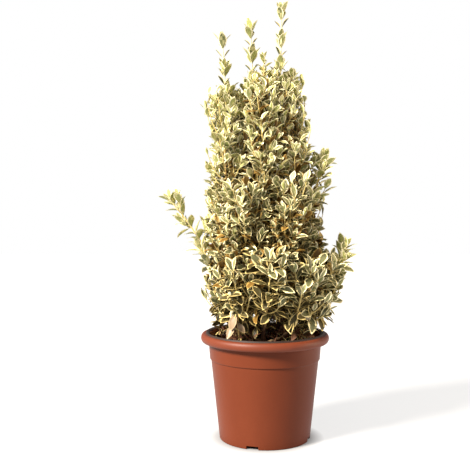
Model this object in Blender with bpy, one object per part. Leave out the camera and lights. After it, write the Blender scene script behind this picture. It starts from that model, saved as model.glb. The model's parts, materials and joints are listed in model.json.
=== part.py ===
# A Japanese spindle with gold-edged leaves: a leafy column of several stems in a round plastic pot.
# Metres, +Z up. The origin is the middle of the pot's underside, and the plant's front faces -Y.
import math
import random

import bmesh
import bpy
from mathutils import Matrix, Vector
from mathutils.bvhtree import BVHTree
from mathutils.geometry import intersect_point_line

# Clearance left between two solids that meet
GAP = 0.0004

# Pot
RIM_RADIUS = 0.160
RIM_HALF_HEIGHT = 0.0115
RIM_CENTRE_Z = 0.2555
RIM_INNER_RADIUS = 0.1445
COLLAR_TOP_RADIUS = 0.1405
COLLAR_FOOT_RADIUS = 0.1375
COLLAR_FOOT_Z = 0.200
COLLAR_STEP_RISE = 0.0015
BODY_TOP_RADIUS = 0.1345
BODY_FOOT_RADIUS = 0.1135
FOOT_CHAMFER = 0.0025
LIP_RADII = (0.1385, 0.1435)
LIP_DROPS = (0.0070, 0.0060)
WALL = 0.0025
GROOVE_INNER_RADIUS = 0.074
GROOVE_OUTER_RADIUS = 0.104
GROOVE_HEIGHT = 0.010
POT_SEGMENTS = 36
ROLL_ARC = (-75, 150)
ROLL_STEPS = 7
SHARP_ANGLE = 35
NOTCH_WIDTH = 0.030
NOTCH_HEIGHT = 0.009
NOTCH_AZIMUTHS = (-107.5, -17.5, 72.5, 162.5)
NOTCH_OVERCUT = 0.006
DRAIN_RADIUS = 0.0065
DRAIN_SIDES = 10

# Soil
SOIL_SEGMENTS = 22
SOIL_EDGE_Z = 0.219
SOIL_TOP_Z = 0.227
SOIL_FLAT_RADIUS = 0.075

# Limbs. A share is of the limb's own length or rise.
STEM_SIDES = 7
STEM_STEPS = 8
BOUGH_SIDES = 5
BOUGH_STEPS = 3
FLARE = 1.55
FLARE_SHARE = 0.035
STEM_BEND_SHARE = 0.45
BOUGH_RADII = (0.0029, 0.0021)
BOUGH_BEND_OUT = 0.85
BOUGH_BEND_UP = 0.30
BISECTIONS = 30

# Twigs and leaves. A leaf's shares are of its length, and its play is how much the dice may change it.
TWIG_SIDES = 4
MASS_STEM_RADII = (0.0028, 0.0019)
MASS_STEM_STEPS = 4
MASS_STEM_BEND_SHARE = 0.40
MASS_STEM_TURN = (30, 60)
TWIG_RADIUS = 0.0018
TWIG_ZONE = (0.06, 0.86)
TWIG_OUT = 0.74
TWIG_AHEAD = 0.55
TWIG_LENGTH_PLAY = (0.85, 1.1)
NEARLY_UPRIGHT = 0.05
GOLDEN_ANGLE = 137.5
ANGLE_PLAY = 20
FIRST_NODE = 0.0055
NODE_SPACING_SHARE = 0.36
ROOT_SINK = 0.0003
WAIST_SHARE = 0.65
LEAF_WIDTH_SHARE = 0.53
KEEL_SHARE = 0.20
KEEL_DEPTH_SHARE = 0.030
TIP_DROP_SHARE = 0.05
OPENING_STEP = 14
OPENING_PLAY = 5
TIP_LEAF_SHARE = 0.90
SIZE_PLAY = 0.12
SPACE_MARGIN = 0.75
TESTED_FROM = 0.008
SEED = 41

# A place is (azimuth in degrees, radius, height). Azimuth 0 is the plant's right, 90 its back, 180 its left
# and 270 its front.
# Each stem: foot, tip, foot radius, tip radius.
STEMS = {
    "trunk": ((120, 0.006, SOIL_TOP_Z), (180, 0.030, 0.800), 0.0085, 0.0023),
    "stem_left": ((200, 0.048, SOIL_TOP_Z), (184, 0.098, 0.800), 0.0070, 0.0022),
    "stem_right": ((338, 0.048, SOIL_TOP_Z), (345, 0.038, 0.810), 0.0070, 0.0022),
    "stem_front": ((262, 0.052, SOIL_TOP_Z), (268, 0.075, 0.620), 0.0062, 0.0023),
    "stem_back_right": ((48, 0.047, SOIL_TOP_Z), (52, 0.078, 0.600), 0.0062, 0.0023),
    "stem_back_left": ((128, 0.047, SOIL_TOP_Z), (122, 0.082, 0.610), 0.0062, 0.0023),
}

# Each bough: the stem that carries it, its height on that stem, its tip.
BOUGHS = {
    "bough_crown_left": ("stem_left", 0.560, (202, 0.103, 0.620)),
    "bough_crown_right": ("stem_right", 0.560, (325, 0.082, 0.625)),
    "bough_top_right": ("stem_right", 0.715, (18, 0.064, 0.785)),
    "bough_top_front": ("trunk", 0.690, (262, 0.044, 0.775)),
    "bough_mid_left": ("stem_left", 0.350, (198, 0.100, 0.425)),
    "bough_mid_front_left": ("stem_front", 0.345, (242, 0.090, 0.420)),
    "bough_mid_front_right": ("stem_front", 0.365, (298, 0.090, 0.430)),
    "bough_mid_right": ("stem_right", 0.360, (8, 0.090, 0.425)),
    "bough_mid_back_right": ("stem_back_right", 0.345, (42, 0.094, 0.420)),
    "bough_mid_back": ("stem_back_right", 0.368, (88, 0.092, 0.430)),
    "bough_mid_back_left": ("stem_back_left", 0.350, (154, 0.095, 0.425)),
    "bough_low_left": ("stem_left", 0.246, (208, 0.090, 0.290)),
    "bough_low_front_left": ("stem_front", 0.252, (236, 0.096, 0.300)),
    "bough_low_front": ("stem_front", 0.280, (270, 0.102, 0.322)),
    "bough_low_front_right": ("stem_front", 0.250, (306, 0.100, 0.292)),
    "bough_low_right": ("stem_right", 0.246, (342, 0.104, 0.290)),
    "bough_low_back_right": ("stem_back_right", 0.246, (28, 0.100, 0.290)),
    "bough_low_back": ("stem_back_right", 0.268, (76, 0.096, 0.300)),
    "bough_low_back_left": ("stem_back_left", 0.248, (124, 0.098, 0.290)),
    "bough_sprig_left": ("stem_left", 0.310, (186, 0.124, 0.405)),
    "bough_sprig_right": ("stem_right", 0.300, (350, 0.138, 0.360)),
    "bough_sprig_high": ("stem_right", 0.490, (344, 0.108, 0.555)),
}

# The kinds of mass: how far the twigs spread, how much that narrows towards the tip, how much they turn up,
# how many twigs and leaves there are, a leaf's length, the pairs on a twig, and how far the tip pair opens.
MASS_KIND_FIELDS = ("spread", "narrowing", "lift", "twigs", "leaves", "leaf", "pairs", "opening")
MASS_KINDS = {
    "leader": (0.026, 0.45, 0.60, 3, 15, 0.050, 6, 16),
    "crown": (0.060, 0.40, 0.25, 8, 24, 0.067, 3, 32),
    "top": (0.038, 0.40, 0.40, 6, 20, 0.060, 3, 28),
    "middle": (0.060, 0.30, 0.15, 8, 24, 0.068, 3, 34),
    "low": (0.064, 0.15, -0.15, 7, 22, 0.070, 3, 34),
    "sprig": (0.036, 0.30, 0.20, 4, 17, 0.058, 6, 34),
}

# Each mass of leaves: the limb whose tip carries it, its kind, its own tip.
MASSES = {
    "leader_middle": ("trunk", "leader", (180, 0.037, 1.018)),
    "leader_left": ("stem_left", "leader", (180, 0.107, 0.992)),
    "leader_right": ("stem_right", "leader", (0, 0.040, 1.062)),
    "crown_front": ("stem_front", "crown", (256, 0.090, 0.850)),
    "crown_back_right": ("stem_back_right", "crown", (50, 0.075, 0.850)),
    "crown_back_left": ("stem_back_left", "crown", (130, 0.095, 0.860)),
    "crown_left": ("bough_crown_left", "crown", (194, 0.112, 0.835)),
    "crown_right": ("bough_crown_right", "crown", (318, 0.062, 0.830)),
    "top_right": ("bough_top_right", "top", (8, 0.070, 0.905)),
    "top_front": ("bough_top_front", "top", (262, 0.045, 0.915)),
    "mid_left": ("bough_mid_left", "middle", (198, 0.112, 0.620)),
    "mid_front_left": ("bough_mid_front_left", "middle", (240, 0.108, 0.610)),
    "mid_front_right": ("bough_mid_front_right", "middle", (300, 0.108, 0.620)),
    "mid_right": ("bough_mid_right", "middle", (8, 0.094, 0.605)),
    "mid_back_right": ("bough_mid_back_right", "middle", (42, 0.112, 0.610)),
    "mid_back": ("bough_mid_back", "middle", (88, 0.112, 0.620)),
    "mid_back_left": ("bough_mid_back_left", "middle", (156, 0.118, 0.610)),
    "low_left": ("bough_low_left", "low", (206, 0.108, 0.420)),
    "low_front_left": ("bough_low_front_left", "low", (236, 0.122, 0.425)),
    "low_front": ("bough_low_front", "low", (270, 0.128, 0.445)),
    "low_front_right": ("bough_low_front_right", "low", (306, 0.134, 0.430)),
    "low_right": ("bough_low_right", "low", (346, 0.148, 0.430)),
    "low_back_right": ("bough_low_back_right", "low", (30, 0.134, 0.430)),
    "low_back": ("bough_low_back", "low", (76, 0.130, 0.425)),
    "low_back_left": ("bough_low_back_left", "low", (124, 0.124, 0.425)),
    "sprig_left": ("bough_sprig_left", "sprig", (183, 0.234, 0.583)),
    "sprig_right": ("bough_sprig_right", "sprig", (350, 0.200, 0.480)),
    "sprig_high": ("bough_sprig_high", "sprig", (344, 0.142, 0.695)),
}

COLOURS = {
    "pot": ((0.30, 0.075, 0.030), 0.55),
    "soil": ((0.020, 0.013, 0.009), 0.95),
    "bark": ((0.17, 0.12, 0.07), 0.85),
    "leaf": ((0.30, 0.32, 0.12), 0.45),
}


def clear_scene():
    for obj in list(bpy.data.objects):
        bpy.data.objects.remove(obj)


def make_material(name):
    colour, roughness = COLOURS[name]
    material = bpy.data.materials.new(name)
    material.use_nodes = True
    shader = material.node_tree.nodes["Principled BSDF"]
    shader.inputs["Base Color"].default_value = (*colour, 1)
    shader.inputs["Roughness"].default_value = roughness
    shader.inputs["Metallic"].default_value = 0
    return material


def make_object(name, verts, faces, material, collection=None):
    mesh = bpy.data.meshes.new(name)
    mesh.from_pydata(verts, [], faces)
    mesh.materials.append(material)
    obj = bpy.data.objects.new(name, mesh)
    (collection or bpy.context.scene.collection).objects.link(obj)
    return obj


def apply_modifiers(obj):
    graph = bpy.context.evaluated_depsgraph_get()
    mesh = bpy.data.meshes.new_from_object(obj.evaluated_get(graph))
    obj.modifiers.clear()
    obj.data = mesh


def boolean(obj, operation, helpers, solver):
    """Joins or cuts obj with a collection of helpers, then removes them."""
    modifier = obj.modifiers.new(operation.title(), "BOOLEAN")
    modifier.operation = operation
    modifier.operand_type = "COLLECTION"
    modifier.collection = helpers
    modifier.solver = solver
    apply_modifiers(obj)
    for helper in list(helpers.objects):
        bpy.data.objects.remove(helper)
    bpy.data.collections.remove(helpers)


def new_collection(name):
    collection = bpy.data.collections.new(name)
    bpy.context.scene.collection.children.link(collection)
    return collection


def place(azimuth, radius, height):
    angle = math.radians(azimuth)
    return Vector((radius * math.cos(angle), radius * math.sin(angle), height))


# Pot and soil


def arc(centre, radii, start, end, steps):
    """Points (radius, height) on an ellipse's arc, from start to end degrees."""
    angles = [math.radians(start + (end - start) * i / steps) for i in range(steps + 1)]
    return [(centre[0] + radii[0] * math.cos(a), centre[1] + radii[1] * math.sin(a)) for a in angles]


def inner_wall_radius(z):
    """The pot's inner radius at height z: the outer slope less the wall."""
    share = z / COLLAR_FOOT_Z
    return BODY_FOOT_RADIUS + (BODY_TOP_RADIUS - BODY_FOOT_RADIUS) * share - WALL


def turned(name, profile, segments, material):
    """A solid turned round the Z axis from a profile whose two ends lie on it."""
    bm = bmesh.new()
    points = [bm.verts.new((r, 0, z)) for r, z in profile]
    edges = [bm.edges.new(pair) for pair in zip(points, points[1:])]
    bmesh.ops.spin(
        bm,
        geom=points + edges,
        cent=(0, 0, 0),
        axis=(0, 0, 1),
        angle=math.tau,
        steps=segments,
        use_merge=True,
    )
    bmesh.ops.remove_doubles(bm, verts=bm.verts[:], dist=0.00001)
    bmesh.ops.recalc_face_normals(bm, faces=bm.faces[:])
    mesh = bpy.data.meshes.new(name)
    bm.to_mesh(mesh)
    bm.free()
    mesh.materials.append(material)
    mesh.shade_smooth()
    mesh.set_sharp_from_angle(angle=math.radians(SHARP_ANGLE))
    obj = bpy.data.objects.new(name, mesh)
    bpy.context.scene.collection.objects.link(obj)
    return obj


def pot_profile():
    rim_top = RIM_CENTRE_Z + RIM_HALF_HEIGHT
    rim_middle = (RIM_INNER_RADIUS + RIM_RADIUS) / 2
    rim_half_width = (RIM_RADIUS - RIM_INNER_RADIUS) / 2
    floor_top = GROOVE_HEIGHT + WALL
    outside = [
        (0, 0),
        (GROOVE_INNER_RADIUS, 0),
        (GROOVE_INNER_RADIUS, GROOVE_HEIGHT),
        (GROOVE_OUTER_RADIUS, GROOVE_HEIGHT),
        (GROOVE_OUTER_RADIUS, 0),
        (BODY_FOOT_RADIUS - FOOT_CHAMFER, 0),
        (BODY_FOOT_RADIUS, FOOT_CHAMFER),
        (BODY_TOP_RADIUS, COLLAR_FOOT_Z),
        (COLLAR_FOOT_RADIUS, COLLAR_FOOT_Z + COLLAR_STEP_RISE),
        (COLLAR_TOP_RADIUS, RIM_CENTRE_Z - RIM_HALF_HEIGHT),
    ]
    roll = arc((rim_middle, RIM_CENTRE_Z), (rim_half_width, RIM_HALF_HEIGHT), *ROLL_ARC, ROLL_STEPS)
    inside = [
        (LIP_RADII[1], rim_top - LIP_DROPS[1]),
        (LIP_RADII[0], rim_top - LIP_DROPS[0]),
        (inner_wall_radius(COLLAR_FOOT_Z), COLLAR_FOOT_Z - WALL),
        (inner_wall_radius(floor_top), floor_top),
        (GROOVE_INNER_RADIUS - WALL, floor_top),
        (GROOVE_INNER_RADIUS - WALL, WALL),
        (0, WALL),
    ]
    return outside + roll + inside


def make_pot(material):
    pot = turned("pot", pot_profile(), POT_SEGMENTS, material)
    cutters = new_collection("pot cutters")
    for azimuth in NOTCH_AZIMUTHS:
        turn = Matrix.Rotation(math.radians(azimuth), 4, "Z")
        add_cutter(notch_cutter(turn), cutters, material)
        add_cutter(drain_cutter(turn), cutters, material)
    boolean(pot, "DIFFERENCE", cutters, "EXACT")


def notch_cutter(turn):
    """A block that cuts one drainage notch through the pot's foot ring."""
    bm = bmesh.new()
    inner = GROOVE_OUTER_RADIUS - NOTCH_OVERCUT
    outer = BODY_FOOT_RADIUS + NOTCH_OVERCUT
    size = Matrix.Diagonal((outer - inner, NOTCH_WIDTH, NOTCH_HEIGHT * 2, 1))
    shift = Matrix.Translation(((inner + outer) / 2, 0, 0))
    bmesh.ops.create_cube(bm, size=1, matrix=turn @ shift @ size)
    return bm


def drain_cutter(turn):
    """A short cylinder that cuts one drain hole through the groove's roof."""
    bm = bmesh.new()
    middle = (GROOVE_INNER_RADIUS + GROOVE_OUTER_RADIUS) / 2
    shift = Matrix.Translation((middle, 0, GROOVE_HEIGHT + WALL / 2))
    bmesh.ops.create_cone(
        bm,
        cap_ends=True,
        segments=DRAIN_SIDES,
        radius1=DRAIN_RADIUS,
        radius2=DRAIN_RADIUS,
        depth=WALL * 3,
        matrix=turn @ shift,
    )
    return bm


def add_cutter(bm, cutters, material):
    mesh = bpy.data.meshes.new("cutter")
    bm.to_mesh(mesh)
    bm.free()
    mesh.materials.append(material)
    cutters.objects.link(bpy.data.objects.new("cutter", mesh))


def make_soil(material):
    """The root ball: it fills the pot inside its wall, and is highest round the stems."""
    flats = math.cos(math.pi / POT_SEGMENTS)

    def edge(z):
        return inner_wall_radius(z) * flats - GAP

    bottom = GROOVE_HEIGHT + WALL + GAP
    step = (GROOVE_INNER_RADIUS - WALL) * flats - GAP
    profile = [
        (0, WALL + GAP),
        (step, WALL + GAP),
        (step, bottom),
        (edge(bottom), bottom),
        (edge(COLLAR_FOOT_Z - WALL), COLLAR_FOOT_Z - WALL),
        (edge(COLLAR_FOOT_Z - WALL), SOIL_EDGE_Z),
        (SOIL_FLAT_RADIUS, SOIL_TOP_Z - GAP),
        (0, SOIL_TOP_Z - GAP),
    ]
    return turned("soil", profile, SOIL_SEGMENTS, material)


# Limbs


def curve_point(ends, t):
    """A point on the quadratic curve through ends[0] and ends[2], drawn towards ends[1]."""
    a, b, c = ends
    return a * (1 - t) ** 2 + b * 2 * t * (1 - t) + c * t**2


def curve_points(ends, steps):
    return [curve_point(ends, i / steps) for i in range(steps + 1)]


def curve_direction(ends, t):
    a, b, c = ends
    return ((b - a) * (1 - t) + (c - b) * t).normalized()


def carried_sides(points, side):
    """A side vector carried along a line of points without twist: one for each point."""
    sides = []
    for k in range(len(points)):
        ahead = points[min(k + 1, len(points) - 1)] - points[max(k - 1, 0)]
        side = (side - ahead * side.dot(ahead) / ahead.length_squared).normalized()
        sides.append(side)
    return sides


def tube(points, radii, sides, start_side=None, foot_normal=None):
    """A closed tube of rings round a line of points. The first ring can lie in a plane of its own."""
    verts, faces = [], []
    start_side = start_side or (points[1] - points[0]).orthogonal()
    for k, side in enumerate(carried_sides(points, start_side)):
        ahead = (points[min(k + 1, len(points) - 1)] - points[max(k - 1, 0)]).normalized()
        across = ahead.cross(side)
        for i in range(sides):
            angle = math.tau * (i + 0.5) / sides
            corner = points[k] + (side * math.cos(angle) + across * math.sin(angle)) * radii[k]
            if k == 0 and foot_normal:
                corner += ahead * ((points[k] - corner).dot(foot_normal) / ahead.dot(foot_normal))
            verts.append(corner)
    for k in range(len(points) - 1):
        for i in range(sides):
            a, b = k * sides + i, k * sides + (i + 1) % sides
            faces.append((a, b, b + sides, a + sides))
    faces.append(tuple(reversed(range(sides))))
    faces.append(tuple(range(len(verts) - sides, len(verts))))
    return verts, faces


def stem_radius(plan, t):
    foot, tip = plan[2], plan[3]
    flare = 1 + (FLARE - 1) * max(0, 1 - t / FLARE_SHARE) ** 2
    return (foot + (tip - foot) * t) * flare


def stem_ends(plan):
    foot, tip = place(*plan[0]), place(*plan[1])
    bend = Vector((tip.x, tip.y, foot.z + (tip.z - foot.z) * STEM_BEND_SHARE))
    return foot, bend, tip


def share_at_height(ends, height):
    """How far along a rising curve it reaches this height, from 0 to 1."""
    low, high = 0.0, 1.0
    for _ in range(BISECTIONS):
        middle = (low + high) / 2
        if curve_point(ends, middle).z < height:
            low = middle
        else:
            high = middle
    return low


def bough_ends(plan):
    """The curve of a bough, and the direction that its cut foot faces."""
    stem = STEMS[plan[0]]
    ends = stem_ends(stem)
    t = share_at_height(ends, plan[1])
    seat, along = curve_point(ends, t), curve_direction(ends, t)
    tip = place(*plan[2])
    outward = tip - seat
    outward = (outward - along * outward.dot(along)).normalized()
    foot = seat + outward * (stem_radius(stem, t) + GAP)
    bend = foot.lerp(tip, BOUGH_BEND_OUT)
    bend.z = foot.z + (tip.z - foot.z) * BOUGH_BEND_UP
    return (foot, bend, tip), outward


def make_limbs(material):
    """Every stem and bough. It returns each limb's tip and the direction that it ends in."""
    tips = {}
    for name, plan in STEMS.items():
        ends = stem_ends(plan)
        shares = [0, FLARE_SHARE / 2, FLARE_SHARE] + [
            FLARE_SHARE + (1 - FLARE_SHARE) * i / (STEM_STEPS - 2) for i in range(1, STEM_STEPS - 1)
        ]
        points = [curve_point(ends, t) for t in shares]
        radii = [stem_radius(plan, t) for t in shares]
        make_object(name, *tube(points, radii, STEM_SIDES, None, Vector((0, 0, -1))), material)
        tips[name] = (ends[2], (points[-1] - points[-2]).normalized())
    for name, plan in BOUGHS.items():
        ends, facing = bough_ends(plan)
        points = curve_points(ends, BOUGH_STEPS)
        thick, thin = BOUGH_RADII
        radii = [thick + (thin - thick) * i / BOUGH_STEPS for i in range(BOUGH_STEPS + 1)]
        make_object(name, *tube(points, radii, BOUGH_SIDES, None, facing), material)
        tips[name] = (ends[2], (points[-1] - points[-2]).normalized())
    return tips


# Twigs and leaves


def leaf_shape(root, direction, upper, length, start=0.0):
    """A leaf of six faces: a sunk root, two side corners, a tip that droops and a keel below."""
    across = direction.cross(upper).normalized() * length * LEAF_WIDTH_SHARE / 2
    shift = direction * (length * start - ROOT_SINK)
    waist = root + direction * length * WAIST_SHARE
    verts = [
        root + shift,
        waist + across,
        waist - across,
        root + direction * length * KEEL_SHARE - upper * length * KEEL_DEPTH_SHARE,
        root + direction * length - upper * length * TIP_DROP_SHARE,
    ]
    faces = [(0, 1, 2), (1, 4, 2), (0, 3, 1), (1, 3, 4), (0, 2, 3), (2, 4, 3)]
    return verts, faces


def side_of(axis, degrees):
    """A direction square to the axis, at this angle round it."""
    start = axis.cross(Vector((0, 0, 1)))
    if start.length < NEARLY_UPRIGHT:
        start = axis.cross(Vector((0, 1, 0)))
    return Matrix.Rotation(math.radians(degrees), 3, axis) @ start.normalized()


def twig_line(points, kind, i, rng):
    """The foot and tip of one twig on a mass's own stem: it leaves at an angle and rises."""
    low, high = TWIG_ZONE
    t = low + (high - low) * i / (kind["twigs"] - 1)
    k = min(int(t * MASS_STEM_STEPS), MASS_STEM_STEPS - 1)
    foot = points[k].lerp(points[k + 1], t * MASS_STEM_STEPS - k)
    axis = (points[k + 1] - points[k]).normalized()
    side = side_of(axis, i * GOLDEN_ANGLE + rng.uniform(-ANGLE_PLAY, ANGLE_PLAY))
    reach = kind["spread"] * (1 - kind["narrowing"] * t) * rng.uniform(*TWIG_LENGTH_PLAY)
    return foot, foot + (side * TWIG_OUT + axis * TWIG_AHEAD + Vector((0, 0, kind["lift"]))) * reach


def leaf_nodes(points, start_side, kind):
    """The places along a twig that carry a pair of leaves, from its tip back: (root, axis, side)."""
    sides = carried_sides(points, start_side)
    distance, nodes = FIRST_NODE, []
    for k in range(len(points) - 1, 0, -1):
        length = (points[k] - points[k - 1]).length
        while distance < length:
            axis = (points[k] - points[k - 1]).normalized()
            nodes.append((points[k].lerp(points[k - 1], distance / length), axis, sides[k]))
            distance += kind["leaf"] * NODE_SPACING_SHARE
        distance -= length
    return nodes[: kind["pairs"]]


def leaf_places(twigs, kind, rng):
    """Where each leaf of a mass could grow, as crossed pairs, those at the twigs' tips first."""
    places = []
    for points, start_side in twigs:
        for rank, (root, axis, side) in enumerate(leaf_nodes(points, start_side, kind)):
            play = rng.uniform(-OPENING_PLAY, OPENING_PLAY)
            opening = math.radians(kind["opening"] + OPENING_STEP * min(rank, 2) + play)
            size = kind["leaf"] * rng.uniform(1 - SIZE_PLAY, 1 + SIZE_PLAY) * (1 if rank else TIP_LEAF_SHARE)
            for half in (0, 180):
                out = Matrix.Rotation(math.radians(rank * 90 + half), 3, axis) @ side
                direction = axis * math.cos(opening) + out * math.sin(opening)
                upper = axis * math.sin(opening) - out * math.cos(opening)
                places.append((rank, (root, direction, upper, size)))
    return [place for rank, place in sorted(places, key=lambda item: item[0])]


def fits(shape, trees):
    tree = BVHTree.FromPolygons(*shape)
    return not any(tree.overlap(other) for other in trees)


def in_space(shape, points, reach):
    """Whether a shape's last point keeps within a mass's reach of the mass's own stem."""
    spot = shape[0][-1]
    for a, b in zip(points, points[1:]):
        _, share = intersect_point_line(spot, a, b)
        if (spot - a.lerp(b, min(max(share, 0), 1))).length < reach:
            return True
    return False


def joined_tree(shapes):
    verts, faces = [], []
    for more_verts, more_faces in shapes:
        first = len(verts)
        verts += more_verts
        faces += [tuple(first + i for i in face) for face in more_faces]
    return BVHTree.FromPolygons(verts, faces)


def start_mass(name, tips):
    """A mass's own stem, on from its limb's tip, with what its twigs need: points, side, shape and dice."""
    limb, _, tip = MASSES[name]
    rng = random.Random(f"{SEED} {name}")
    root, heading = tips[limb]
    start, end = root + heading * GAP, place(*tip)
    bend = start + heading * (end - start).length * MASS_STEM_BEND_SHARE
    points = curve_points((start, bend, end), MASS_STEM_STEPS)
    thick, thin = MASS_STEM_RADII
    radii = [thick + (thin - thick) * i / MASS_STEM_STEPS for i in range(MASS_STEM_STEPS + 1)]
    side = side_of((points[1] - points[0]).normalized(), rng.uniform(*MASS_STEM_TURN))
    return points, side, tube(points, radii, TWIG_SIDES, side, heading), rng


def grow_mass(name, started, others, material):
    """One mass of leaves: its own stem, the twigs on it, and the leaves that fit on them."""
    points, side, stem, rng = started
    kind = dict(zip(MASS_KIND_FIELDS, MASS_KINDS[MASSES[name][1]]))
    shapes, twigs = [stem], [(points, side)]
    for i in range(kind["twigs"]):
        foot, tip = twig_line(points, kind, i, rng)
        side = side_of((tip - foot).normalized(), rng.uniform(0, 90))
        inner_end = foot.lerp(tip, TESTED_FROM / (tip - foot).length)
        twig = tube([foot, tip], [TWIG_RADIUS] * 2, TWIG_SIDES, side)
        outer = tube([inner_end, tip], [TWIG_RADIUS] * 2, TWIG_SIDES, side)
        if fits(twig, others) and fits(outer, [joined_tree(shapes)]):
            shapes.append(twig)
            twigs.append(([foot, tip], side))
    reach, leaves = kind["spread"] + kind["leaf"] * SPACE_MARGIN, 0
    for root, direction, upper, length in leaf_places(twigs, kind, rng):
        leaf = leaf_shape(root, direction, upper, length)
        outer = leaf_shape(root, direction, upper, length, TESTED_FROM / length)
        clear = in_space(leaf, points, reach) and fits(leaf, others) and fits(outer, [joined_tree(shapes)])
        if clear and leaves < kind["leaves"]:
            shapes.append(leaf)
            leaves += 1
    return fuse(name, shapes, material)


def fuse(name, shapes, material):
    """One solid from a mass's stem, twigs and leaves."""
    helpers = new_collection(name + " pieces")
    for shape in shapes[1:]:
        make_object(name + " piece", *shape, material, helpers)
    mass = make_object(name, *shapes[0], material)
    boolean(mass, "UNION", helpers, "MANIFOLD")
    return mass


def tree_of(obj):
    points = [vert.co for vert in obj.data.vertices]
    return BVHTree.FromPolygons(points, [tuple(face.vertices) for face in obj.data.polygons])


def main():
    clear_scene()
    materials = {name: make_material(name) for name in COLOURS}
    make_pot(materials["pot"])
    make_soil(materials["soil"])
    tips = make_limbs(materials["bark"])
    grown = [tree_of(obj) for obj in bpy.context.scene.objects]
    started = {name: start_mass(name, tips) for name in MASSES}
    stems = {name: BVHTree.FromPolygons(*started[name][2]) for name in MASSES}
    for name in MASSES:
        del stems[name]
        mass = grow_mass(name, started[name], grown + list(stems.values()), materials["leaf"])
        grown.append(tree_of(mass))


main()
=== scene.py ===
import json
import math
import random

import bmesh
import bpy
import numpy as np
from mathutils import Matrix, Vector, noise
from mathutils.bvhtree import BVHTree
from mathutils.geometry import intersect_point_line

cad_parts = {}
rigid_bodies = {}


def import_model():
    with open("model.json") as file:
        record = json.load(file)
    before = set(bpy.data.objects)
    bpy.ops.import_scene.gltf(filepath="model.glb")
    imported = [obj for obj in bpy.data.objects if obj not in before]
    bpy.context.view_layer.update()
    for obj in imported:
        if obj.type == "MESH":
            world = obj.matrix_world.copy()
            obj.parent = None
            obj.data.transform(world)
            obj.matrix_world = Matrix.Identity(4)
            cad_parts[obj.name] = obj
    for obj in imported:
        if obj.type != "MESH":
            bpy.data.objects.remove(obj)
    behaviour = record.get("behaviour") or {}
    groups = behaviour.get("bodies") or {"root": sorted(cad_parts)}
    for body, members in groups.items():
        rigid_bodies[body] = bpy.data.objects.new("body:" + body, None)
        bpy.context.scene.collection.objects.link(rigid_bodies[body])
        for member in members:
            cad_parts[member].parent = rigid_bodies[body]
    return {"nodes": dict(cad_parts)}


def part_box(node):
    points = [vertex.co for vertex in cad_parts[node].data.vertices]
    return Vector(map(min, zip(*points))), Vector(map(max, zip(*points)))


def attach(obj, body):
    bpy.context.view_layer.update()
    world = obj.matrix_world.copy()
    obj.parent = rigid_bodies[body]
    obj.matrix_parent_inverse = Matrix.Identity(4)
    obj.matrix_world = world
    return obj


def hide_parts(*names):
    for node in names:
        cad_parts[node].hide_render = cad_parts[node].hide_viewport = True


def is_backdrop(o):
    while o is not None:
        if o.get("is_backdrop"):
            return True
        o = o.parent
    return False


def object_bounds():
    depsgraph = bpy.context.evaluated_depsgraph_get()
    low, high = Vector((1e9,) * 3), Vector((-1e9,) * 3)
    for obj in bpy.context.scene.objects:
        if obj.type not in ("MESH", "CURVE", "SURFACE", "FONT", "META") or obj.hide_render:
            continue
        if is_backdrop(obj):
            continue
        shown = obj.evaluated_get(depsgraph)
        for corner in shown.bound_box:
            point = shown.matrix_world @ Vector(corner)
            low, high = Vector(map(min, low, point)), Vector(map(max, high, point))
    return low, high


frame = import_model()
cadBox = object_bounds()
scene = bpy.context.scene
up = Vector((0, 0, 1))
seed = 41
goldenAngle = 137.5


# Finishes

def newGroup(name, inputs, outputs):
    group = bpy.data.node_groups.new(name, "ShaderNodeTree")
    for way, sockets in (("INPUT", inputs), ("OUTPUT", outputs)):
        for label, kind in sockets:
            group.interface.new_socket(label, in_out=way, socket_type="NodeSocket" + kind)
    return group, group.nodes.new("NodeGroupInput"), group.nodes.new("NodeGroupOutput")


def newNode(tree, kind, values=(), **settings):
    node = tree.nodes.new("ShaderNode" + kind)
    for label, value in settings.items():
        setattr(node, label, value)
    for label, value in dict(values).items():
        node.inputs[label].default_value = value
    return node


def connect(tree, *wires):
    for source, outlet, target, inlet in wires:
        tree.links.new(source.outputs[outlet], target.inputs[inlet])


mottling = {
    "patches": {"Detail": 5, "Roughness": 0.6}, "grain": {"Detail": 3, "Roughness": 0.55},
    "contrast": {"From Min": 0.32, "From Max": 0.68}, "grainShare": 0.35,
}


def mottleGroup():
    # soft patches of two colours, a finer grain that darkens them a little, and the grain's height
    group, start, end = newGroup(
        "mottle",
        (("Vector", "Vector"), ("Pale", "Color"), ("Deep", "Color"), ("Patches", "Float"),
         ("Grain", "Float")),
        (("Color", "Color"), ("Height", "Float")),
    )
    patches, grain = (newNode(group, "TexNoise", mottling[part]) for part in ("patches", "grain"))
    spread = newNode(group, "MapRange", mottling["contrast"])
    both = newNode(group, "Math", {1: mottling["grainShare"]}, operation="MULTIPLY_ADD")
    blend = newNode(group, "Mix", data_type="RGBA")
    connect(
        group, (start, "Vector", patches, "Vector"), (start, "Patches", patches, "Scale"),
        (start, "Vector", grain, "Vector"), (start, "Grain", grain, "Scale"),
        (patches, "Fac", spread, "Value"), (grain, "Fac", both, 0), (spread, "Result", both, 2),
        (both, 0, blend, "Factor"), (start, "Pale", blend, 6), (start, "Deep", blend, 7),
        (blend, 2, end, "Color"), (grain, "Fac", end, "Height"),
    )
    return group


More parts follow.
